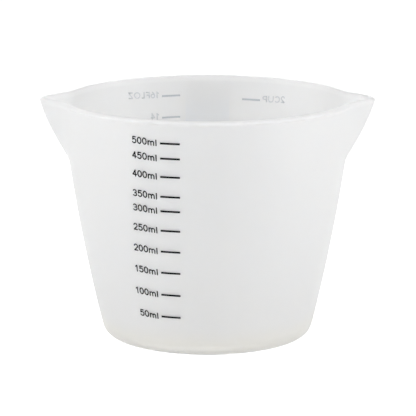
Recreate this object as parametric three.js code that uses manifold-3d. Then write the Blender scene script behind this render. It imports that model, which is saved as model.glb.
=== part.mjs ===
// Measuring cup: a translucent moulding in soft silicone with a tapered round bowl, a small
// rim lip, two pouring spouts and a strap handle, all one piece, and three printed scales.
// Millimetres, +Z up, origin at the middle of the base. The front, with the millilitre scale,
// faces -Y, the spouts point along -X and +X, and the handle stands out along +Y.
// A bearing is the angle round the cup from the front: 90 degrees is the +X spout.

import * as THREE from 'three';
import { mergeVertices } from 'three/addons/utils/BufferGeometryUtils.js';
import Module from 'manifold-3d';

const wasm = await Module();
wasm.setup();

// Bowl
const cupHeight = 88.7;
const baseRadius = 38.4; // where the line of the wall would meet the table
const wallTopRadius = 54; // outside of the wall at the rim, without the lip
const wallBow = 1.6; // how far the wall swells out of a straight cone, halfway up
const wallThickness = 2; // measured level
const floorThickness = 3;
const baseRoundWidth = 3.7; // rounded outer edge of the base, along the table
const baseRoundHeight = 5.4; // and up the wall
const baseRoundPower = 3.2; // 2 is an ellipse, more is squarer
const floorRound = 7; // radius between the floor and the wall, inside

// Rim
const lipHeight = 1.6;
const lipStep = 0.4; // how far the lip stands out from the wall
const lipFadeStart = 28; // along the rim from a spout's tip, where the lip starts to die out
const lipFadeEnd = 14; // and where it is gone, so that the spout pours from a plain edge
const rimOuterRound = 1.3; // radius of the top edge outside; the rest of the lip slopes in to the wall
const rimInnerRound = 0.6; // and inside

// Spouts
const spoutReach = 8.35; // overhang of the tip beyond the wall
const spoutDepth = 23.2; // from the rim down to the foot of the keel
const spoutHalfWidth = 12.6; // at the rim, from the tip to where a flank's line meets the wall
const spoutFootHalfWidth = 7; // the same at the foot
const spoutNose = 2.4; // half width of the rounded tip
const spoutRoot = 5; // half width of the blend between flank and wall
const keelPower = 1.45; // 1 is a straight keel, more bulges towards the tip

// Handle
const handleWidth = 17;
const handleThickness = 7.5; // of the strap where it is gripped
const handleReach = 28; // from the wall at the rim to the middle of the strap
const handleEdgeRound = 2.2;
const upperRootMiddle = 77; // height of the middle of the upper root
const upperRootHeight = 15.2;
const lowerRootMiddle = 12.5;
const lowerRootHeight = 17;
const rootFlare = 18; // length over which a root narrows to the strap
const handleShoulder = 6; // how much the strap bellies up and down past its roots

// Printed scales
const lineWidth = 0.68;
const lineLength = 7.2;
const inkThickness = 0.12;
const inkClearance = 0.05;
const millilitreEdge = 9.6; // from the middle plane of the cup to the nearest line end
const ounceEdge = 10.6;
const cupEdge = 13.5;
const fullLineDrop = 8.2; // from the rim down to the 500 ml line
const ounceRise = 3.2; // the back scales are printed this much above the true volume
const cupRise = 2;
// Lines that are printed out of step, and by how much
const millilitreSlip = new Map([[50, 0.9], [150, -0.1], [250, 0.4], [300, 0.6], [350, -0.8], [450, 0.5]]);
const ounceSlip = new Map([[14, -0.8], [16, 0.2]]);
const millilitreMarks = [50, 100, 150, 200, 250, 300, 350, 400, 450, 500];
const ounceMarks = [2, 4, 6, 8, 10, 12, 14, 16];
const cupMarks = [0.5, 1, 1.5, 2];
const millilitresPerOunce = 29.57;
const millilitresPerCup = 236.6;

// Fineness of the facets
const spoutColumns = 9; // from the tip of a spout to the edge of its blend
const wallColumns = 14; // from there to the middle of the front or the back
const baseRoundSteps = 6;
const plainWallSteps = 5; // below the spouts
const spoutWallSteps = 7; // beside the spouts
const rimRoundSteps = 4;
const floorRoundSteps = 5;
const strapSteps = 26; // along the handle
const edgeRoundSteps = 3;
const lineSteps = 4; // along a printed line
const volumeSlices = 300;
const areaSectors = 180;

// Worked out from the sizes above
const spoutFoot = cupHeight - spoutDepth;
const lipFoot = cupHeight - lipHeight;
const fullLine = cupHeight - fullLineDrop;
const outerEdge = Math.min(rimOuterRound, 0.65 * wallThickness, 0.85 * lipHeight);
const innerEdge = Math.min(rimInnerRound, 0.3 * wallThickness);
const quarterTurn = Math.PI / 2;
const halfTurn = Math.PI;
const fullTurn = 2 * Math.PI;
const quarterColumns = spoutColumns + wallColumns;
const roundColumns = 4 * quarterColumns;
const fullMillilitres = Math.max(...millilitreMarks);

// Radius of the plain wall at a height, outside, as if it ran straight down to the table
function wallRadius(z) {
  const climb = z / cupHeight;
  const cone = THREE.MathUtils.lerp(baseRadius, wallTopRadius, climb);
  return cone + 4 * wallBow * climb * (1 - climb);
}

// The outside draws in at the rounded edge of the base
function outsideRadius(z) {
  const low = Math.max(0, 1 - z / baseRoundHeight);
  const full = (1 - low ** baseRoundPower) ** (1 / baseRoundPower);
  return wallRadius(z) - baseRoundWidth * (1 - full);
}

// The inside draws in at the round between wall and floor
function insideRadius(z) {
  const low = Math.max(0, 1 - (z - floorThickness) / floorRound);
  return wallRadius(z) - wallThickness - floorRound * (1 - Math.sqrt(1 - low * low));
}

// Outline of a spout seen from above, 1 at the tip: a rounded nose, straight flanks and a soft
// root. The place is 0 at the tip and 1 where a straight flank meets the wall.
function spoutOutline(place) {
  const nose = spoutNose / spoutHalfWidth;
  const root = spoutRoot / spoutHalfWidth;
  const peak = 1 - nose / 2;
  if (place > 1 + root) return 0;
  if (place > 1 - root) return (1 + root - place) ** 2 / (4 * root * peak);
  if (place > nose) return (1 - place) / peak;
  return (peak - place ** 2 / (2 * nose)) / peak;
}

// Share of the full overhang that the keel of a spout has at a height
function keelShare(z) {
  const rise = THREE.MathUtils.clamp((z - spoutFoot) / spoutDepth, 0, 1);
  return 1 - (1 - rise) ** keelPower;
}

// Angle from the tip of a spout to where its flanks meet the wall, at a height
function spoutSpread(z) {
  return THREE.MathUtils.lerp(spoutFootHalfWidth, spoutHalfWidth, keelShare(z)) / wallRadius(z);
}

// Angle round the cup from a bearing to the tip of the nearest spout
function turnFromSpout(bearing) {
  return Math.asin(Math.abs(Math.cos(bearing)));
}

// How far the wall stands out of its round at a bearing and a height
function spoutOverhang(bearing, z) {
  return spoutReach * keelShare(z) * spoutOutline(turnFromSpout(bearing) / spoutSpread(z));
}

// Bearing of a column of facets at a height. The columns inside a spout follow its flanks.
function columnBearing(column, z) {
  const quarter = Math.floor(column / quarterColumns);
  const spout = quarterTurn + halfTurn * Math.floor(quarter / 2);
  const step = column % quarterColumns;
  const side = quarter % 2 ? 1 : -1;
  const fromTip = side > 0 ? step : quarterColumns - step;
  const blendEdge = spoutSpread(z) * (1 + spoutRoot / spoutHalfWidth);
  const within = Math.min(1, fromTip / spoutColumns);
  const beyond = Math.max(0, (fromTip - spoutColumns) / wallColumns);
  return spout + side * THREE.MathUtils.lerp(within * blendEdge, quarterTurn, beyond);
}

// Share of the lip at a bearing, from none at a spout to all of it along the front and back
function lipShare(bearing) {
  const fromTip = wallTopRadius * turnFromSpout(bearing);
  return THREE.MathUtils.smoothstep(fromTip, lipFadeEnd, lipFadeStart);
}

// Evenly spaced values from one end to the other, both included
function steps(from, to, count) {
  return Array.from({ length: count + 1 }, (_, i) => THREE.MathUtils.lerp(from, to, i / count));
}

// Rows of the outside of the cup, from the middle of the base to the top of the rim.
// Each row has a radius, a height and its share of the lip.
function outsideRows() {
  const rounded = steps(0, quarterTurn, baseRoundSteps).map((a) => baseRoundHeight * (1 - Math.cos(a)));
  const plain = steps(baseRoundHeight, spoutFoot, plainWallSteps).slice(1);
  const beside = steps(spoutFoot, lipFoot, spoutWallSteps).slice(1);
  const wall = [...rounded, ...plain, ...beside].map((z) => ({ r: outsideRadius(z), z, lip: 0 }));
  const lip = steps(0, quarterTurn, rimRoundSteps).map((a) => ({
    r: wallRadius(cupHeight) - outerEdge * (1 - Math.cos(a)),
    z: cupHeight - outerEdge * (1 - Math.sin(a)),
    lip: 1,
  }));
  return [{ r: 0, z: 0, lip: 0 }, ...wall, ...lip];
}

// Rows of the inside, from the top of the rim down to the middle of the floor
function insideRows() {
  const rim = steps(quarterTurn, 0, rimRoundSteps).map((a) => ({
    r: insideRadius(cupHeight) + innerEdge * (1 - Math.cos(a)),
    z: cupHeight - innerEdge * (1 - Math.sin(a)),
  }));
  const beside = steps(cupHeight - innerEdge, spoutFoot, spoutWallSteps).slice(1);
  const roundTop = floorThickness + floorRound;
  const plain = steps(spoutFoot, roundTop, plainWallSteps).slice(1);
  const rounded = steps(quarterTurn, 0, floorRoundSteps).slice(1);
  const low = rounded.map((a) => floorThickness + floorRound * (1 - Math.cos(a)));
  const wall = [...beside, ...plain, ...low].map((z) => ({ r: insideRadius(z), z }));
  const middle = { r: 0, z: floorThickness };
  return [...rim, ...wall, middle].map((row) => ({ ...row, lip: 0 }));
}

// A turned form through the rows, drawn out into the spouts and stepped out at the lip
function cupForm(rows, spouts) {
  const profile = rows.map((row) => new THREE.Vector2(row.r, row.z));
  const geometry = new THREE.LatheGeometry(profile, roundColumns);
  const position = geometry.attributes.position;
  for (let i = 0; i < position.count; i++) {
    const row = rows[i % rows.length];
    const bearing = columnBearing(Math.floor(i / rows.length), row.z);
    const drawn = spouts && row.r > 0 ? spoutOverhang(bearing, row.z) : 0;
    const radius = row.r + drawn + row.lip * lipStep * lipShare(bearing);
    position.setXYZ(i, radius * Math.sin(bearing), -radius * Math.cos(bearing), row.z);
  }
  return geometry;
}

// Shared vertices merged, and the empty triangles at the poles left out
function closed(geometry) {
  geometry.deleteAttribute('normal');
  geometry.deleteAttribute('uv');
  const merged = mergeVertices(geometry);
  const index = merged.index.array;
  const kept = [];
  for (let i = 0; i < index.length; i += 3) {
    const [a, b, c] = index.slice(i, i + 3);
    if (a !== b && b !== c && c !== a) kept.push(a, b, c);
  }
  merged.setIndex(kept);
  return merged;
}

function toSolid(geometry) {
  const merged = closed(geometry);
  return new wasm.Manifold(new wasm.Mesh({
    numProp: 3,
    vertProperties: new Float32Array(merged.attributes.position.array),
    triVerts: new Uint32Array(merged.index.array),
  }));
}

function toGeometry(solid) {
  const mesh = solid.getMesh();
  const geometry = new THREE.BufferGeometry();
  geometry.setAttribute('position', new THREE.BufferAttribute(mesh.vertProperties, 3));
  geometry.setIndex(new THREE.BufferAttribute(mesh.triVerts, 1));
  geometry.computeVertexNormals();
  return geometry;
}

// Middle line of the handle strap, in the plane of depth (Y) and height (Z)
function handleLine() {
  const upperWall = outsideRadius(upperRootMiddle) - wallThickness;
  const lowerWall = outsideRadius(lowerRootMiddle) - wallThickness;
  const grip = wallTopRadius + handleReach;
  const pull = (grip - (upperWall + lowerWall) / 8) / 0.75; // so the curve's middle is at the grip
  return new THREE.CubicBezierCurve(
    new THREE.Vector2(upperWall, upperRootMiddle),
    new THREE.Vector2(pull, upperRootMiddle + handleShoulder),
    new THREE.Vector2(pull, lowerRootMiddle - handleShoulder),
    new THREE.Vector2(lowerWall, lowerRootMiddle),
  );
}

// Half the strap's thickness at a distance along it: wide at the roots, narrow at the grip
function strapHalf(distance, length) {
  const nearUpper = Math.max(0, 1 - distance / rootFlare) ** 2;
  const nearLower = Math.max(0, 1 - (length - distance) / rootFlare) ** 2;
  const upper = ((upperRootHeight - handleThickness) / 2) * nearUpper;
  const lower = ((lowerRootHeight - handleThickness) / 2) * nearLower;
  return handleThickness / 2 + upper + lower;
}

// The strap, drawn from the side, given its width and rounded edges
function handleForm() {
  const line = handleLine();
  const length = line.getLength();
  const outer = [];
  const inner = [];
  for (const share of steps(0, 1, strapSteps)) {
    const middle = line.getPointAt(share);
    const along = line.getTangentAt(share);
    const half = strapHalf(share * length, length);
    const out = new THREE.Vector2(-along.y, along.x).multiplyScalar(half);
    outer.push(middle.clone().add(out));
    inner.push(middle.clone().sub(out));
  }
  const outline = new THREE.Shape([...outer, ...inner.reverse()]);
  const geometry = new THREE.ExtrudeGeometry(outline, {
    depth: handleWidth - 2 * handleEdgeRound,
    bevelThickness: handleEdgeRound,
    bevelSize: handleEdgeRound,
    bevelOffset: -handleEdgeRound,
    bevelSegments: edgeRoundSteps,
  });
  geometry.translate(0, 0, handleEdgeRound - handleWidth / 2);
  const depthAxis = new THREE.Vector3(0, 1, 0);
  const heightAxis = new THREE.Vector3(0, 0, 1);
  const widthAxis = new THREE.Vector3(1, 0, 0);
  return geometry.applyMatrix4(new THREE.Matrix4().makeBasis(depthAxis, heightAxis, widthAxis));
}

// A core up to the middle of the wall, which cuts the handle's roots off inside the wall
function wallCore() {
  const rows = outsideRows().map((row) => ({ ...row, r: Math.max(0, row.r - wallThickness / 2), lip: 0 }));
  return cupForm([...rows, { r: 0, z: cupHeight, lip: 0 }], false);
}

// Bowl, spouts, lip and handle are one moulding
function cupBody() {
  const bowl = toSolid(cupForm([...outsideRows(), ...insideRows()], true));
  const handle = toSolid(handleForm()).subtract(toSolid(wallCore()));
  return toGeometry(bowl.add(handle));
}

// Level area inside the cup at a height, spouts included
function levelArea(z) {
  const bearings = steps(0, fullTurn, areaSectors).slice(1);
  const squares = bearings.map((bearing) => (insideRadius(z) + spoutOverhang(bearing, z)) ** 2);
  return (halfTurn * squares.reduce((sum, square) => sum + square, 0)) / areaSectors;
}

// Height to which a share of the volume up to the full line fills the cup
function fillHeight(share) {
  const levels = steps(floorThickness, fullLine, volumeSlices);
  const slices = levels.slice(1).map((z, i) => levelArea((z + levels[i]) / 2));
  let left = share * slices.reduce((sum, slice) => sum + slice, 0);
  let full = 0;
  while (full < volumeSlices - 1 && left > slices[full]) left -= slices[full++];
  return THREE.MathUtils.lerp(levels[full], levels[full + 1], left / slices[full]);
}

// A printed line: a flat strip of ink bent round the wall. The scale starts at the edge, that
// far from the cup's middle plane, and runs to one side of it, seen by growing bearing.
function printedLine(height, scale) {
  const radius = outsideRadius(height);
  const start = Math.asin(Math.min(1, scale.edge / radius));
  const middle = scale.bearing + scale.side * (start + lineLength / (2 * radius));
  const strip = new THREE.BoxGeometry(lineLength, inkThickness, lineWidth, lineSteps, 1, 1);
  const position = strip.attributes.position;
  for (let i = 0; i < position.count; i++) {
    const bearing = middle + position.getX(i) / radius;
    const z = height + position.getZ(i);
    const depth = inkThickness / 2 - position.getY(i);
    const r = outsideRadius(z) + spoutOverhang(bearing, z) + inkClearance + depth;
    position.setXYZ(i, r * Math.sin(bearing), -r * Math.cos(bearing), z);
  }
  const geometry = closed(strip);
  geometry.computeVertexNormals();
  return geometry;
}

const silicone = new THREE.MeshStandardMaterial({ color: 0xe4e5e4, roughness: 0.42, metalness: 0 });
const ink = new THREE.MeshStandardMaterial({ color: 0x1a1a1c, roughness: 0.6, metalness: 0 });

const scales = [
  {
    name: (mark) => `ml_line_${String(mark).padStart(3, '0')}`,
    marks: millilitreMarks,
    millilitres: 1,
    rise: (mark) => millilitreSlip.get(mark) ?? 0,
    bearing: 0,
    side: -1,
    edge: millilitreEdge,
  },
  {
    name: (mark) => `fl_oz_line_${String(mark).padStart(2, '0')}`,
    marks: ounceMarks,
    millilitres: millilitresPerOunce,
    rise: (mark) => ounceRise + (ounceSlip.get(mark) ?? 0),
    bearing: halfTurn,
    side: 1,
    edge: ounceEdge,
  },
  {
    name: (mark) => `cup_line_${mark.toFixed(1)}`,
    marks: cupMarks,
    millilitres: millilitresPerCup,
    rise: () => cupRise,
    bearing: halfTurn,
    side: -1,
    edge: cupEdge,
  },
];

const cup = new THREE.Group();

const body = new THREE.Mesh(cupBody(), silicone);
body.name = 'cup_body';
cup.add(body);

for (const scale of scales) {
  for (const mark of scale.marks) {
    const level = fillHeight((mark * scale.millilitres) / fullMillilitres);
    const line = new THREE.Mesh(printedLine(level + scale.rise(mark), scale), ink);
    line.name = scale.name(mark);
    cup.add(line);
  }
}

export default cup;
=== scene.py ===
# Looks of the measuring cup: a milky silicone moulding with printed scales, on a pale floor.
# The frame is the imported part: metres, +Z up, the millilitre scale faces -Y, the spouts point
# along -X and +X, and the handle stands out along +Y. A bearing is the angle round the cup from
# the front, so that 90 degrees is the +X spout.

import math

import bmesh
import bpy
from mathutils import Euler, Matrix, Vector
from mathutils.geometry import interpolate_bezier


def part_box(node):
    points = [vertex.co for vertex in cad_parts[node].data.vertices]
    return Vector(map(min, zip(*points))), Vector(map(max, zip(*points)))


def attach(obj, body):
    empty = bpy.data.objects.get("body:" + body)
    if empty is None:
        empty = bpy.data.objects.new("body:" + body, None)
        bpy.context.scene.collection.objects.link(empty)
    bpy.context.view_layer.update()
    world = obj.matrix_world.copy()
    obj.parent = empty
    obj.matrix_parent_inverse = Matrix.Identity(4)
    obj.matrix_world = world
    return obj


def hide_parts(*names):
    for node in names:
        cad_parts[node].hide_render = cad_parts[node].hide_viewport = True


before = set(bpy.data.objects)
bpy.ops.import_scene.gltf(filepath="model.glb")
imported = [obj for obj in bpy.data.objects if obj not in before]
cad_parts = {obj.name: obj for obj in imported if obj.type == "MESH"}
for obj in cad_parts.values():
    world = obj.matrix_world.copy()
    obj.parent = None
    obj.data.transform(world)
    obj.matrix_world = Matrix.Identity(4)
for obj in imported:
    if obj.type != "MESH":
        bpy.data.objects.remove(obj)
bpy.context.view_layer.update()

MM = 0.001
CLOSE = 0.01 * MM

# Bowl
CUP_HEIGHT = 88.7 * MM
BASE_RADIUS = 38.4 * MM
WALL_TOP_RADIUS = 54 * MM
WALL_BOW = 1.6 * MM
WALL_THICKNESS = 2 * MM
FLOOR_THICKNESS = 3 * MM
BASE_ROUND_WIDTH = 3.7 * MM
BASE_ROUND_HEIGHT = 5.4 * MM
BASE_ROUND_POWER = 3.2
FLOOR_ROUND = 7 * MM

# Rim
LIP_FOOT = CUP_HEIGHT - 1.6 * MM
LIP_STEP = 0.4 * MM
LIP_RAMP = 0.3 * MM
LIP_FADE_START = 28 * MM
LIP_FADE_END = 14 * MM
RIM_OUTER_ROUND = 1.3 * MM
RIM_INNER_ROUND = 0.6 * MM

# Spouts
SPOUT_REACH = 8.32 * MM
SPOUT_DEPTH = 23.2 * MM
SPOUT_FOOT = CUP_HEIGHT - SPOUT_DEPTH
SPOUT_HALF_WIDTH = 12.6 * MM
SPOUT_FOOT_HALF_WIDTH = 7 * MM
SPOUT_NOSE = 2.4 * MM
SPOUT_ROOT = 5 * MM
KEEL_POWER = 1.45

# Handle
HANDLE_THICKNESS = 7.5 * MM
HANDLE_REACH = 27.95 * MM
UPPER_ROOT = 77 * MM
UPPER_ROOT_HEIGHT = 15.2 * MM
LOWER_ROOT = 12.5 * MM
LOWER_ROOT_HEIGHT = 17 * MM
ROOT_FLARE = 18 * MM
HANDLE_SHOULDER = 6 * MM
STRAP_COLUMNS = [0, 3.2 * MM, 6 * MM, 8.5 * MM]
STRAP_RINGS = 24

# Columns of faces round a quarter of the bowl: in the spout, in the plain wall, at the strap
SPOUT_COLUMNS = 8
PLAIN_COLUMNS = 8
QUARTER_COLUMNS = SPOUT_COLUMNS + PLAIN_COLUMNS + len(STRAP_COLUMNS) - 1
ROUND_COLUMNS = 4 * QUARTER_COLUMNS

# Rows of faces: heights up the outside, heights down the inside, and turns round the soft edges
SPOUT_FOOT_ROWS = [SPOUT_FOOT - 1.6 * MM, SPOUT_FOOT, SPOUT_FOOT + 1.8 * MM]
OUTSIDE_ROWS = [27 * MM, 34 * MM, 41 * MM, 48 * MM, 55 * MM, 61 * MM]
LIP_ROWS = [86.2 * MM, 86.9 * MM, LIP_FOOT]
INSIDE_TOP_ROWS = [86.2 * MM, 83 * MM, 79 * MM, 75 * MM, 71 * MM]
INSIDE_ROWS = [60 * MM, 53 * MM, 45 * MM, 37 * MM, 29 * MM, 21 * MM, 15 * MM]
ROOT_ROW_SHARES = (-0.5, -0.25, 0, 0.25, 0.5)
BASE_TURNS = (0, 10, 20, 32, 46, 58)
FLOOR_TURNS = (90, 72, 54, 36, 18, 0)
RIM_TURNS = (0, 40, 80)


def lerp(start, end, share):
    return start + (end - start) * share


def clamp(value):
    return min(1, max(0, value))


def wall_radius(z):
    """Radius of the plain wall outside, as if it ran straight down to the table"""
    climb = z / CUP_HEIGHT
    return lerp(BASE_RADIUS, WALL_TOP_RADIUS, climb) + 4 * WALL_BOW * climb * (1 - climb)


def outside_radius(z):
    """The outside draws in at the rounded edge of the base"""
    low = max(0, 1 - z / BASE_ROUND_HEIGHT)
    full = (1 - low ** BASE_ROUND_POWER) ** (1 / BASE_ROUND_POWER)
    return wall_radius(z) - BASE_ROUND_WIDTH * (1 - full)


def inside_radius(z):
    """The inside draws in at the round between wall and floor"""
    low = max(0, 1 - (z - FLOOR_THICKNESS) / FLOOR_ROUND)
    return wall_radius(z) - WALL_THICKNESS - FLOOR_ROUND * (1 - math.sqrt(1 - low * low))


def spout_outline(place):
    """Outline of a spout from above: 1 at the tip, straight flanks and a soft root"""
    nose = SPOUT_NOSE / SPOUT_HALF_WIDTH
    root = SPOUT_ROOT / SPOUT_HALF_WIDTH
    peak = 1 - nose / 2
    if place > 1 + root:
        return 0
    if place > 1 - root:
        return (1 + root - place) ** 2 / (4 * root * peak)
    if place > nose:
        return (1 - place) / peak
    return (peak - place ** 2 / (2 * nose)) / peak


def keel_share(z):
    """Share of the full overhang that the keel of a spout has at a height"""
    return 1 - (1 - clamp((z - SPOUT_FOOT) / SPOUT_DEPTH)) ** KEEL_POWER


def spout_spread(z):
    """Angle from the tip of a spout to where its flanks meet the wall"""
    return lerp(SPOUT_FOOT_HALF_WIDTH, SPOUT_HALF_WIDTH, keel_share(z)) / wall_radius(z)


def turn_from_spout(bearing):
    return math.asin(abs(math.cos(bearing)))


def spout_overhang(bearing, z):
    place = turn_from_spout(bearing) / spout_spread(z)
    return SPOUT_REACH * keel_share(z) * spout_outline(place)


def lip_step(bearing, z):
    """How far the lip stands out: a step round the rim that dies out at the spouts"""
    from_tip = WALL_TOP_RADIUS * turn_from_spout(bearing)
    share = clamp((from_tip - LIP_FADE_END) / (LIP_FADE_START - LIP_FADE_END))
    ramp = clamp((z - LIP_FOOT) / LIP_RAMP)
    return LIP_STEP * ramp * share * share * (3 - 2 * share)


def column_bearing(column, z):
    """Bearing of a column of faces: it follows the spout's flanks and the strap's edges"""
    quarter, step = divmod(column, QUARTER_COLUMNS)
    side = 1 if quarter % 2 else -1
    spout = math.pi / 2 + math.pi * (quarter // 2)
    from_tip = step if side > 0 else QUARTER_COLUMNS - step
    blend_edge = spout_spread(z) * (1 + SPOUT_ROOT / SPOUT_HALF_WIDTH)
    strap_edge = math.pi / 2 - math.asin(STRAP_COLUMNS[-1] / wall_radius(z))
    if from_tip <= SPOUT_COLUMNS:
        return spout + side * blend_edge * from_tip / SPOUT_COLUMNS
    if from_tip <= SPOUT_COLUMNS + PLAIN_COLUMNS:
        beyond = (from_tip - SPOUT_COLUMNS) / PLAIN_COLUMNS
        return spout + side * lerp(blend_edge, strap_edge, beyond)
    across = STRAP_COLUMNS[QUARTER_COLUMNS - from_tip]
    return spout + side * (math.pi / 2 - math.asin(across / wall_radius(z)))


def root_rows(middle, height):
    """Heights of the rows of faces that a handle root covers"""
    return [middle + height * share for share in ROOT_ROW_SHARES]


def rim_round(edge, reach):
    """Points of a rounded top edge, from its side to its top"""
    points = []
    for turn in [math.radians(degrees) for degrees in RIM_TURNS]:
        across = reach * (1 - math.cos(turn))
        down = abs(reach) * (1 - math.sin(turn))
        points.append((edge + across, CUP_HEIGHT - down))
    return points


def outside_profile():
    """Points of the outside, from the middle of the base up to the top of the rim"""
    flat = outside_radius(0)
    middle = [(0, 0), (flat / 3, 0), (flat * 0.75, 0)]
    turns = [math.radians(degrees) for degrees in BASE_TURNS]
    rounded = [BASE_ROUND_HEIGHT * (1 - math.cos(turn)) for turn in turns]
    lower = root_rows(LOWER_ROOT, LOWER_ROOT_HEIGHT)
    upper = root_rows(UPPER_ROOT, UPPER_ROOT_HEIGHT)
    heights = rounded + lower + OUTSIDE_ROWS + SPOUT_FOOT_ROWS + upper + LIP_ROWS
    wall = [(outside_radius(z), z) for z in heights]
    return middle + wall + rim_round(WALL_TOP_RADIUS, -RIM_OUTER_ROUND)


def inside_profile():
    """Points of the inside, from the top of the rim down to the middle of the floor"""
    rim = rim_round(inside_radius(CUP_HEIGHT), RIM_INNER_ROUND)[::-1]
    turns = [math.radians(degrees) for degrees in FLOOR_TURNS]
    rounded = [FLOOR_THICKNESS + FLOOR_ROUND * (1 - math.cos(turn)) for turn in turns]
    heights = INSIDE_TOP_ROWS + SPOUT_FOOT_ROWS[::-1] + INSIDE_ROWS + rounded
    wall = [(inside_radius(z), z) for z in heights]
    floor = inside_radius(FLOOR_THICKNESS)
    middle = [(floor * 0.7, FLOOR_THICKNESS), (floor / 3, FLOOR_THICKNESS), (0, FLOOR_THICKNESS)]
    return rim + wall + middle


def turn_bowl(bm):
    """Spins the bowl's section, then draws it out into the spouts and the lip"""
    section = [bm.verts.new((0, -r, z)) for r, z in outside_profile() + inside_profile()]
    line = [bm.edges.new(pair) for pair in zip(section, section[1:])]
    bmesh.ops.spin(bm, geom=section + line, axis=(0, 0, 1), cent=(0, 0, 0), angle=math.tau,
                   steps=ROUND_COLUMNS, use_merge=True)
    bmesh.ops.remove_doubles(bm, verts=bm.verts[:], dist=CLOSE)
    for vert in bm.verts:
        radius = vert.co.xy.length
        if radius < MM:
            continue
        z = vert.co.z
        turn = math.atan2(vert.co.x, -vert.co.y) % math.tau
        bearing = column_bearing(round(turn / math.tau * ROUND_COLUMNS) % ROUND_COLUMNS, z)
        if radius > wall_radius(z) - WALL_THICKNESS / 2:
            radius += lip_step(bearing, z)
        radius += spout_overhang(bearing, z)
        vert.co = (radius * math.sin(bearing), -radius * math.cos(bearing), z)


def strap_line():
    """Middle line of the handle strap, from inside the wall to inside the wall"""
    top = Vector((0, outside_radius(UPPER_ROOT) - WALL_THICKNESS, UPPER_ROOT))
    end = Vector((0, outside_radius(LOWER_ROOT) - WALL_THICKNESS, LOWER_ROOT))
    # Half-way along, a Bezier curve has an eighth of each end and three quarters of the pull
    pull = (WALL_TOP_RADIUS + HANDLE_REACH - (top.y + end.y) / 8) / 0.75
    over = Vector((0, pull, UPPER_ROOT + HANDLE_SHOULDER))
    under = Vector((0, pull, LOWER_ROOT - HANDLE_SHOULDER))
    return interpolate_bezier(top, over, under, end, STRAP_RINGS + 1)


def strap_half(distance, length):
    """Half the strap's thickness at a distance along it: wide at the roots, narrow at the grip"""
    upper = (UPPER_ROOT_HEIGHT - HANDLE_THICKNESS) / 2 * max(0, 1 - distance / ROOT_FLARE) ** 2
    lower = (LOWER_ROOT_HEIGHT - HANDLE_THICKNESS) / 2
    lower *= max(0, 1 - (length - distance) / ROOT_FLARE) ** 2
    return HANDLE_THICKNESS / 2 + upper + lower


def open_root(bm, middle, height):
    """Opens the back of the wall where a handle root grows out, and gives the opening's edges"""
    half_width = STRAP_COLUMNS[-1]
    covered = []
    for face in bm.faces:
        spot = face.calc_center_median()
        outer = spot.xy.length > wall_radius(spot.z) - WALL_THICKNESS / 2
        within = abs(spot.x) < half_width and abs(spot.z - middle) < height / 2
        if outer and within and spot.y > 0:
            covered.append(face)
    rim = dict.fromkeys(edge for face in covered for edge in face.edges)
    bmesh.ops.delete(bm, geom=covered, context="FACES")
    return [edge for edge in rim if edge.is_valid and edge.is_boundary]


def grow_handle(bm):
    """Draws the strap out of the upper root, round the grip, and joins it to the lower root"""
    upper = open_root(bm, UPPER_ROOT, UPPER_ROOT_HEIGHT)
    lower = open_root(bm, LOWER_ROOT, LOWER_ROOT_HEIGHT)
    rise = bm.verts.layers.float.new("rise")
    for vert in {vert for edge in upper for vert in edge.verts}:
        vert[rise] = (vert.co.z - UPPER_ROOT) / (UPPER_ROOT_HEIGHT / 2)
    line = strap_line()
    runs = [(b - a).length for a, b in zip(line, line[1:])]
    ring = upper
    for i in range(1, STRAP_RINGS):
        half = strap_half(sum(runs[:i]), sum(runs))
        along = (line[i + 1] - line[i - 1]).normalized()
        out = Vector((0, -along.z, along.y))
        made = bmesh.ops.extrude_edge_only(bm, edges=ring)["geom"]
        for vert in [item for item in made if isinstance(item, bmesh.types.BMVert)]:
            spot = line[i] + out * half * vert[rise]
            vert.co = (vert.co.x, spot.y, spot.z)
        ring = [item for item in made if isinstance(item, bmesh.types.BMEdge) and item.is_boundary]
    bmesh.ops.bridge_loops(bm, edges=ring + lower)
    bm.verts.layers.float.remove(rise)


def add_piece(name, bm, material):
    """Makes a bmesh a named piece of the cup with its finish"""
    mesh = bpy.data.meshes.new(name)
    bm.to_mesh(mesh)
    bm.free()
    mesh.materials.append(material)
    piece = bpy.data.objects.new(name, mesh)
    bpy.context.scene.collection.objects.link(piece)
    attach(piece, "root")
    return piece


def make_cup(material):
    bm = bmesh.new()
    turn_bowl(bm)
    grow_handle(bm)
    bmesh.ops.recalc_face_normals(bm, faces=bm.faces[:])
    for face in bm.faces:
        face.smooth = True
    cup = add_piece("moulded_cup", bm, material)
    smooth = cup.modifiers.new("moulded curves", "SUBSURF")
    smooth.levels = 2
    smooth.render_levels = 2
    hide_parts("cup_body")


# Printed numbers: the round pen, and where a number stands beside its line
PEN_WIDTH = 0.46 * MM
FRONT_GAP = 0.97 * MM
FRONT_DROP = 0.94 * MM
BACK_GAP = 0.7 * MM
BACK_DROP = 0.56 * MM
NUMBER_CLIMB = 0.055
INK_CLEARANCE = 0.05 * MM
INK_THICKNESS = 0.1 * MM
PRINT_MERGE = 0.002 * MM

# Prints seen through the wall: how far they stand off the inside, how high, and how flat they are
INSIDE_CLEARANCE = 0.22 * MM
INSIDE_LIFT = 0.4 * MM
INSIDE_FLATNESS = 0.3


def bow(x, y, across, up, start, end):
    """Points of an arc between two angles in degrees"""
    count = max(2, round(abs(end - start) / 15))
    turns = [math.radians(lerp(start, end, i / count)) for i in range(count + 1)]
    return [(x + across * math.cos(a), y + up * math.sin(a)) for a in turns]


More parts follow.
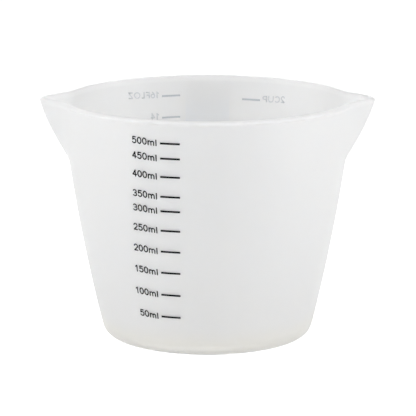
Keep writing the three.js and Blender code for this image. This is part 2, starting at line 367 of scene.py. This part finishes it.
# Each sign has the room that it takes along the line of print, and its strokes from the middle of
# its foot, in millimetres
SIGNS = {
    "0": (2.02, [bow(0, 1.1, 0.7, 1.1, 90, 450)]),
    "1": (2.02, [[(-0.3, 1.72), (0.28, 2.2)], [(0.28, 2.2), (0.28, 0)]]),
    "2": (2.02, [bow(0, 1.52, 0.66, 0.68, 165, -35) + [(-0.68, 0)], [(-0.68, 0), (0.7, 0)]]),
    "3": (2.02, [bow(-0.05, 1.63, 0.62, 0.57, 150, -90), bow(-0.05, 0.56, 0.73, 0.56, 90, -150)]),
    "4": (2.02, [[(0.3, 2.2), (-0.72, 0.6)], [(-0.72, 0.6), (0.74, 0.6)], [(0.3, 2.2), (0.3, 0)]]),
    "5": (2.02, [[(0.58, 2.2), (-0.45, 2.2)], [(-0.45, 2.2), (-0.56, 1.22)],
                 bow(-0.04, 0.73, 0.74, 0.73, 138, -150)]),
    "6": (2.02, [bow(0, 0.7, 0.7, 0.7, 90, 450), bow(0.5, 0.7, 1.2, 1.5, 110, 180)]),
    "8": (2.02, [bow(0, 1.65, 0.58, 0.55, 90, 450), bow(0, 0.56, 0.7, 0.56, 90, 450)]),
    ".": (1, [[(0, 0), (0, 0.05)]]),
    "m": (2.95, [[(-1.06, 0), (-1.06, 1.42)],
                 [(-1.06, 0.89)] + bow(-0.53, 0.89, 0.53, 0.53, 180, 0) + [(0, 0)],
                 [(0, 0.89)] + bow(0.53, 0.89, 0.53, 0.53, 180, 0) + [(1.06, 0)]]),
    "l": (0.9, [[(0, 0), (0, 2)]]),
    "C": (2.8, [bow(0.1, 1.05, 1.05, 1.05, 50, 310)]),
    "F": (2.15, [[(-0.6, 0), (-0.6, 2.1)], [(-0.6, 2.1), (0.6, 2.1)], [(-0.6, 1.1), (0.45, 1.1)]]),
    "L": (1.95, [[(-0.5, 2.1), (-0.5, 0)], [(-0.5, 0), (0.5, 0)]]),
    "O": (3.2, [bow(0, 1.05, 1.17, 1.05, 90, 450)]),
    "P": (2.4, [[(-0.75, 0), (-0.75, 2.1)],
                [(-0.75, 2.1)] + bow(0.1, 1.54, 0.65, 0.56, 90, -90) + [(-0.75, 0.98)]]),
    "U": (2.8, [[(-0.95, 2.1)] + bow(0, 0.9, 0.95, 0.9, 180, 360) + [(0.95, 2.1)]]),
    "Z": (2.5, [[(-0.8, 2.1), (0.85, 2.1)], [(0.85, 2.1), (-0.85, 0)], [(-0.85, 0), (0.85, 0)]]),
}


def pen_strokes(words):
    """The strokes of a line of print, in metres from its start, and the line's length"""
    strokes = []
    pen = 0
    for sign in words:
        room, shape = SIGNS[sign]
        for stroke in shape:
            strokes.append([Vector(((pen + room / 2 + x) * MM, y * MM, 0)) for x, y in stroke])
        pen += room
    return strokes, pen * MM


def is_loop(stroke):
    return (stroke[0] - stroke[-1]).length < CLOSE


def draw_strokes(bm, strokes):
    """Draws strokes with the round pen, flat on the XY plane"""
    curve = bpy.data.curves.new("print", "CURVE")
    curve.dimensions = "3D"
    curve.bevel_depth = PEN_WIDTH / 2
    curve.bevel_resolution = 1
    curve.use_fill_caps = True
    for stroke in strokes:
        spots = stroke[:-1] if is_loop(stroke) else stroke
        spline = curve.splines.new("POLY")
        spline.use_cyclic_u = is_loop(stroke)
        spline.points.add(len(spots) - 1)
        for point, spot in zip(spline.points, spots):
            point.co = (*spot, 1)
    drawn = bpy.data.objects.new("print", curve)
    bpy.context.scene.collection.objects.link(drawn)
    bpy.context.view_layer.update()
    ready = drawn.evaluated_get(bpy.context.evaluated_depsgraph_get())
    mesh = bpy.data.meshes.new_from_object(ready)
    bm.from_mesh(mesh)
    bpy.data.objects.remove(drawn)
    bpy.data.curves.remove(curve)
    bpy.data.meshes.remove(mesh)
    for spot in [stroke[i] for stroke in strokes if not is_loop(stroke) for i in (0, -1)]:
        bmesh.ops.create_uvsphere(bm, u_segments=8, v_segments=4, radius=PEN_WIDTH / 2,
                                  matrix=Matrix.Translation(spot))


def print_number(bm, words, line, back, side):
    """Prints a number beside a scale line, on the line's far side from the middle of the cup"""
    low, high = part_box(line)
    height = (low.z + high.z) / 2
    radius = outside_radius(height)
    end = math.asin((high.x if low.x > 0 else low.x) / radius)
    strokes, length = pen_strokes(words)
    drop = BACK_DROP if back else FRONT_DROP
    gap = BACK_GAP if back else FRONT_GAP
    start = (math.pi - end if back else end) + side * gap / radius
    if side < 0:
        start -= length / radius
    printed = set(bm.verts)
    draw_strokes(bm, strokes)
    for vert in set(bm.verts) - printed:
        bearing = start + vert.co.x / radius
        beside = length - vert.co.x if side < 0 else vert.co.x
        z = height + vert.co.y - drop + NUMBER_CLIMB * beside
        depth = vert.co.z * INK_THICKNESS / PEN_WIDTH
        out = outside_radius(z) + INK_CLEARANCE + INK_THICKNESS / 2 + depth
        vert.co = (out * math.sin(bearing), -out * math.cos(bearing), z)


def make_numbers(name, labels, material, back, side):
    bm = bmesh.new()
    for line, words in labels.items():
        print_number(bm, words, line, back, side)
    bmesh.ops.remove_doubles(bm, verts=bm.verts[:], dist=PRINT_MERGE)
    return add_piece(name, bm, material)


def show_inside(name, prints, material):
    """The prints as they show through the wall, laid on the inside of the bowl"""
    bm = bmesh.new()
    for piece in prints:
        bm.from_mesh(piece.data)
    bmesh.ops.remove_doubles(bm, verts=bm.verts[:], dist=PRINT_MERGE)
    for vert in bm.verts:
        height = vert.co.xy.length - outside_radius(vert.co.z)
        proud = INSIDE_FLATNESS * height + INSIDE_CLEARANCE
        z = vert.co.z + INSIDE_LIFT
        depth = math.sqrt((inside_radius(z) - proud) ** 2 - vert.co.x ** 2)
        vert.co = (vert.co.x, math.copysign(depth, vert.co.y), z)
    bmesh.ops.reverse_faces(bm, faces=bm.faces[:])
    return add_piece(name, bm, material)


class Value:
    """A number that changes over a surface: sums on it add Math nodes to its material"""

    def __init__(self, socket):
        self.socket = socket

    def math(self, operation, a, b):
        tree = self.socket.id_data
        made = add_node(tree, "ShaderNodeMath", {"operation": operation}, {0: a, 1: b})
        return Value(made.outputs[0])

    def __add__(self, other):
        return self.math("ADD", self, other)

    def __radd__(self, other):
        return self.math("ADD", other, self)

    def __mul__(self, other):
        return self.math("MULTIPLY", self, other)

    def __rmul__(self, other):
        return self.math("MULTIPLY", other, self)

    def __sub__(self, other):
        return self.math("SUBTRACT", self, other)

    def __rsub__(self, other):
        return self.math("SUBTRACT", other, self)


def add_node(tree, kind, settings, inputs):
    """A node of a kind, with its settings set first and then its sockets' values or links"""
    node = tree.nodes.new(kind)
    for name, setting in settings.items():
        setattr(node, name, setting)
    for name, given in inputs.items():
        socket = given.socket if isinstance(given, Value) else given
        if isinstance(socket, bpy.types.NodeSocket):
            tree.links.new(socket, node.inputs[name])
        else:
            node.inputs[name].default_value = socket
    return node


def new_material(name):
    material = bpy.data.materials.new(name)
    material.use_nodes = True
    material.node_tree.nodes.clear()
    return material, material.node_tree


def noise(tree, scale, detail):
    """Even speckle over a piece, from 0 to 1, with so many features to the metre"""
    spot = add_node(tree, "ShaderNodeTexCoord", {}, {}).outputs["Object"]
    inputs = {"Vector": spot, "Scale": scale, "Detail": detail, "Roughness": 0.5}
    return Value(add_node(tree, "ShaderNodeTexNoise", {}, inputs).outputs[0])


def place_share(tree, axis, low, high):
    """0 at a place along an axis and below it, 1 at another and above it"""
    spot = add_node(tree, "ShaderNodeTexCoord", {}, {}).outputs["Object"]
    along = add_node(tree, "ShaderNodeSeparateXYZ", {}, {"Vector": spot}).outputs[axis]
    settings = {"interpolation_type": "SMOOTHSTEP"}
    inputs = {"Value": along, "From Min": low, "From Max": high}
    return Value(add_node(tree, "ShaderNodeMapRange", settings, inputs).outputs[0])


# Where the painted shade of the handle's upper root starts and ends, from its outer edge to its
# full tone
SHADE_EDGE = 0.3 * MM
SHADE_BOTTOM = (60 * MM, 66 * MM)
SHADE_TOP = (74 * MM, 85 * MM)
SHADE_INSIDE = (30 * MM, 35 * MM)
SHADE_OUTSIDE = (53 * MM, 58 * MM)


def root_shade_share(tree):
    """1 where shade from the handle's upper root behind the wall is painted, 0 away from it"""
    half = STRAP_COLUMNS[-1]
    across = place_share(tree, "X", -half - SHADE_EDGE, -half + SHADE_EDGE)
    across = across - place_share(tree, "X", half - SHADE_EDGE, half + SHADE_EDGE)
    up = place_share(tree, "Z", *SHADE_BOTTOM) - place_share(tree, "Z", *SHADE_TOP)
    out = place_share(tree, "Y", *SHADE_INSIDE) - place_share(tree, "Y", *SHADE_OUTSIDE)
    return across * up * out


def mixed_colour(tree, share, first, second):
    node = add_node(tree, "ShaderNodeMix", {"data_type": "RGBA"}, {0: share})
    for place, colour in ((6, first), (7, second)):
        if isinstance(colour, bpy.types.NodeSocket):
            tree.links.new(colour, node.inputs[place])
        else:
            node.inputs[place].default_value = colour
    return node.outputs[2]


# Colours of the silicone from the table up: painted light at the bottom edge, painted shade darker
# and warmer towards the foot, the wall's own tone, painted light on the lip, and the painted shade
# of the handle's root seen through the wall
PAINTED_LIGHT_EDGE = (1, 0.985, 0.94, 1)
PAINTED_SHADE_ROUND = (0.815, 0.805, 0.77, 1)
PAINTED_SHADE_CORNER = (0.86, 0.85, 0.815, 1)
PAINTED_SHADE_LOW_WALL = (0.857, 0.856, 0.852, 1)
CLEAR_WALL = (0.905, 0.91, 0.91, 1)
CLOUDY_WALL = (0.92, 0.92, 0.918, 1)
PAINTED_LIGHT_LIP = (0.965, 0.965, 0.962, 1)
PAINTED_ROOT_SHADE = (0.889, 0.902, 0.922, 1)


def milky_silicone():
    """Soft translucent silicone: satin and a little cloudy, with painted light at the bottom edge
    and on the lip, painted shade darker and warmer towards the foot, and painted shade where the
    handle's root stands behind the wall
    """
    material, tree = new_material("milky silicone")
    cloud = noise(tree, 40, 3)
    grain = noise(tree, 1800, 2)
    past_edge = place_share(tree, "Z", 0.3 * MM, 1.9 * MM)
    past_round = place_share(tree, "Z", 2.6 * MM, 5.5 * MM)
    past_corner = place_share(tree, "Z", 4 * MM, 12 * MM)
    past_foot = place_share(tree, "Z", 0, 45 * MM)
    lip_light_share = place_share(tree, "Z", 86 * MM, 87.2 * MM)
    # Painted light on the bottom edge, then painted shade, darker and warmer towards the foot
    foot = mixed_colour(tree, past_edge, PAINTED_LIGHT_EDGE, PAINTED_SHADE_ROUND)
    foot = mixed_colour(tree, past_round, foot, PAINTED_SHADE_CORNER)
    foot = mixed_colour(tree, past_corner, foot, PAINTED_SHADE_LOW_WALL)
    wall = mixed_colour(tree, cloud, CLEAR_WALL, CLOUDY_WALL)
    wall = mixed_colour(tree, past_foot, foot, wall)
    # Painted shade where the handle's upper root stands behind the back wall
    wall = mixed_colour(tree, root_shade_share(tree), wall, PAINTED_ROOT_SHADE)
    # Painted light on the lip
    colour = mixed_colour(tree, lip_light_share, wall, PAINTED_LIGHT_LIP)
    relief = {"Strength": 0.05, "Distance": 0.05 * MM, "Height": grain}
    bump = add_node(tree, "ShaderNodeBump", {}, relief)
    inputs = {
        "Base Color": colour,
        "Roughness": 0.27 + 0.08 * cloud + 0.04 * grain,
        "Normal": bump.outputs[0],
        "IOR": 1.41,
        "Specular IOR Level": 0.2,
        "Transmission Weight": 0.3,
        "Subsurface Weight": 1.0,
        "Subsurface Radius": (1.0, 0.98, 0.94),
        "Subsurface Scale": 4 * MM,
    }
    skin = add_node(tree, "ShaderNodeBsdfPrincipled", {}, inputs)
    add_node(tree, "ShaderNodeOutputMaterial", {}, {"Surface": skin.outputs[0]})
    return material


def printed_ink():
    """Black screen print: matt, with a little unevenness in its cover"""
    material, tree = new_material("printed ink")
    speckle = noise(tree, 1500, 2)
    colour = mixed_colour(tree, speckle, (0.004, 0.004, 0.005, 1), (0.012, 0.012, 0.013, 1))
    relief = {"Strength": 0.1, "Distance": 0.02 * MM, "Height": speckle}
    bump = add_node(tree, "ShaderNodeBump", {}, relief)
    inputs = {
        "Base Color": colour,
        "Roughness": 0.5 + 0.15 * speckle,
        "Normal": bump.outputs[0],
        "Specular IOR Level": 0.1,
    }
    skin = add_node(tree, "ShaderNodeBsdfPrincipled", {}, inputs)
    add_node(tree, "ShaderNodeOutputMaterial", {}, {"Surface": skin.outputs[0]})
    return material


def print_through_silicone(name, dark, pale):
    """The back of the ink, paled and cooled by the milky wall in front of it"""
    material, tree = new_material(name)
    speckle = noise(tree, 1500, 2)
    colour = mixed_colour(tree, speckle, dark, pale)
    skin = add_node(tree, "ShaderNodeBsdfPrincipled", {}, {"Base Color": colour, "Roughness": 0.4})
    add_node(tree, "ShaderNodeOutputMaterial", {}, {"Surface": skin.outputs[0]})
    return material


def seen_share(tree):
    """1 where a ray comes from the camera, a reflection or a look through the silicone"""
    rays = add_node(tree, "ShaderNodeLightPath", {}, {}).outputs
    seen = Value(rays["Is Camera Ray"]) + Value(rays["Is Glossy Ray"])
    seen = seen + Value(rays["Is Transmission Ray"])
    return seen.math("MINIMUM", seen, 1)


WHITE = (1, 1, 1, 1)
FLOOR_WHITE = (0.95, 0.95, 0.95, 1)
FLOOR_GLOW = 0.7


def pale_floor():
    """A white floor that looks brighter than it lights the cup"""
    material, tree = new_material("pale floor")
    matt = add_node(tree, "ShaderNodeBsdfDiffuse", {}, {"Color": FLOOR_WHITE})
    light = {"Color": WHITE, "Strength": FLOOR_GLOW * seen_share(tree)}
    glow = add_node(tree, "ShaderNodeEmission", {}, light)
    both = add_node(tree, "ShaderNodeAddShader", {}, {0: matt.outputs[0], 1: glow.outputs[0]})
    add_node(tree, "ShaderNodeOutputMaterial", {}, {"Surface": both.outputs[0]})
    return material


def make_floor():
    bm = bmesh.new()
    bmesh.ops.create_grid(bm, x_segments=1, y_segments=1, size=4)
    mesh = bpy.data.meshes.new("floor")
    bm.to_mesh(mesh)
    bm.free()
    mesh.materials.append(pale_floor())
    floor = bpy.data.objects.new("floor", mesh)
    bpy.context.scene.collection.objects.link(floor)


def make_surroundings():
    """White wherever they are seen, with no light of their own on the cup"""
    world = bpy.data.worlds.new("studio")
    bpy.context.scene.world = world
    world.use_nodes = True
    tree = world.node_tree
    tree.nodes.clear()
    light = {"Color": WHITE, "Strength": seen_share(tree)}
    sky = add_node(tree, "ShaderNodeBackground", {}, light)
    add_node(tree, "ShaderNodeOutputWorld", {}, {"Surface": sky.outputs[0]})


def add_softbox(name, place, size, watts):
    """A square lamp that faces the middle of the cup"""
    lamp = bpy.data.lights.new(name, "AREA")
    lamp.size = size
    lamp.energy = watts
    softbox = bpy.data.objects.new(name, lamp)
    softbox.location = place
    aim = Vector((0, 0, CUP_HEIGHT / 2)) - Vector(place)
    softbox.rotation_euler = aim.to_track_quat("-Z", "Y").to_euler()
    bpy.context.scene.collection.objects.link(softbox)


# Camera, as the photograph was taken
CAMERA_PITCH = math.radians(12.03)
CAMERA_DISTANCE = 931.4 * MM
FOCAL_PIXELS = 2500
IMAGE_PIXELS = 416
SHIFT_RIGHT_PIXELS = 0.6
SHIFT_UP_PIXELS = 6.39
SENSOR = 36


def make_camera():
    camera = bpy.data.cameras.new("camera")
    camera.sensor_width = SENSOR
    camera.lens = SENSOR * FOCAL_PIXELS / IMAGE_PIXELS
    camera.shift_x = SHIFT_RIGHT_PIXELS / IMAGE_PIXELS
    camera.shift_y = SHIFT_UP_PIXELS / IMAGE_PIXELS
    viewer = bpy.data.objects.new("camera", camera)
    back = -math.cos(CAMERA_PITCH) * CAMERA_DISTANCE
    viewer.location = (0, back, CUP_HEIGHT / 2 + math.sin(CAMERA_PITCH) * CAMERA_DISTANCE)
    viewer.rotation_euler = Euler((math.pi / 2 - CAMERA_PITCH, 0, 0))
    bpy.context.scene.collection.objects.link(viewer)
    bpy.context.scene.camera = viewer


silicone = milky_silicone()
ink = printed_ink()

make_cup(silicone)
lines = [node for name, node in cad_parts.items() if "line" in name]
for line in lines:
    line.data.materials.clear()
    line.data.materials.append(ink)

millilitres = {f"ml_line_{mark:03d}": f"{mark}ml" for mark in range(50, 501, 50)}
ounces = {f"fl_oz_line_{mark:02d}": f"{mark}" for mark in range(2, 17, 2)}
ounces["fl_oz_line_16"] = "16FLOZ"
cups = {"cup_line_0.5": "0.5", "cup_line_1.0": "1", "cup_line_1.5": "1.5", "cup_line_2.0": "2CUP"}
numbers = [
    make_numbers("ml_numbers", millilitres, ink, back=False, side=-1),
    make_numbers("fl_oz_numbers", ounces, ink, back=True, side=1),
    make_numbers("cup_numbers", cups, ink, back=True, side=-1),
]

faint_line = print_through_silicone(
    "line through silicone", (0.5, 0.525, 0.56, 1), (0.55, 0.575, 0.61, 1))
faint_number = print_through_silicone(
    "number through silicone", (0.66, 0.675, 0.7, 1), (0.71, 0.725, 0.745, 1))
inside = [
    show_inside("lines_inside", lines, faint_line),
    show_inside("numbers_inside", numbers, faint_number),
]

# The milky wall carries light under the thin ink, so the ink throws no shadow on it
for piece in lines + numbers + inside:
    piece.visible_shadow = False

make_camera()
make_floor()
make_surroundings()
add_softbox("left softbox", (-0.9, -0.15, 0.45), 0.7, 5.1)
add_softbox("right softbox", (0.9, -0.15, 0.4), 0.7, 4.9)
add_softbox("top softbox", (0, -0.35, 1.05), 0.9, 5)
add_softbox("front softbox", (0, -1.12, 0.67), 0.75, 6.5)
add_softbox("back softbox", (0, 1.2, 0.45), 0.7, 0.9)
bpy.context.scene.view_settings.view_transform = "Standard"
